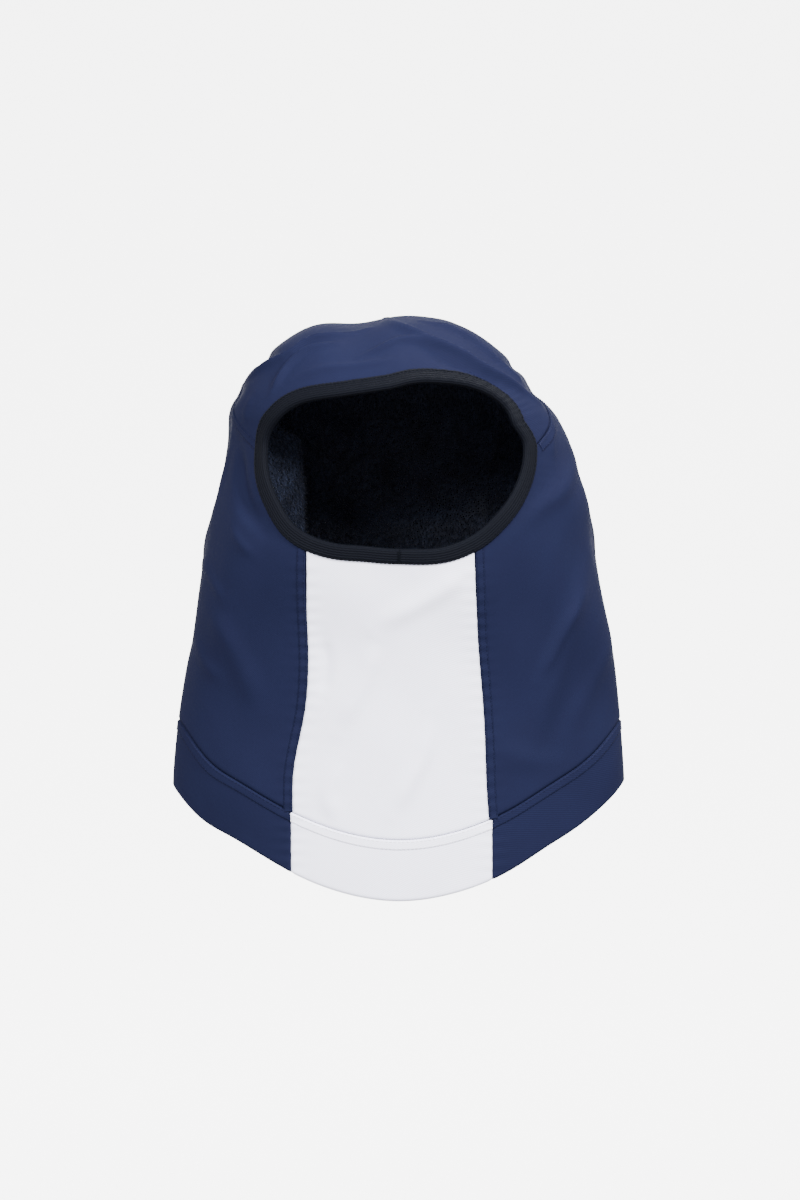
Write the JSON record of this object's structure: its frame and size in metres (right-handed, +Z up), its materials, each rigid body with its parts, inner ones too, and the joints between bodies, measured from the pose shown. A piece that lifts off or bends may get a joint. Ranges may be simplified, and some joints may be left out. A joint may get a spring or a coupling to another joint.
{
  "type": "balaclava",
  "caption": "Softshell balaclava with a full-face opening, elastic binding, contrasting throat panel, plush lining and a shaped bib hem, as worn.",
  "frame": {"origin": "middle of the wearer's head: halfway between the ears at eye level", "axes": "the face looks along -Y, +X is the wearer's left, +Z is up towards the crown"},
  "size_m": [0.2974, 0.1876, 0.3798],
  "materials": {
    "navy_softshell": "matt brushed softshell knit",
    "white_softshell": "matt brushed softshell knit",
    "elastic_binding": "ribbed fold-over elastic",
    "plush_lining": "short plush pile",
    "sewing_thread": "spun polyester thread",
    "woven_label": "woven satin"
  },
  "bodies": {
    "root": {"crown_panel": "navy_softshell", "side_panel_left": "navy_softshell", "side_panel_right": "navy_softshell", "hem_band_left": "navy_softshell", "hem_band_right": "navy_softshell", "hem_band_back": "navy_softshell", "crown_seam_tape_left": "navy_softshell", "crown_seam_tape_right": "navy_softshell", "front_seam_tape_left": "navy_softshell", "front_seam_tape_right": "navy_softshell", "hem_seam_tape_left": "navy_softshell", "hem_seam_tape_right": "navy_softshell", "hem_seam_tape_back": "navy_softshell", "front_panel": "white_softshell", "hem_band_front": "white_softshell", "hem_seam_tape_front": "white_softshell", "lining_crown": "plush_lining", "lining_left": "plush_lining", "lining_right": "plush_lining", "lining_front": "plush_lining", "face_binding": "elastic_binding", "binding_tack": "sewing_thread", "care_label": "woven_label"}
  },
  "joints": []
}
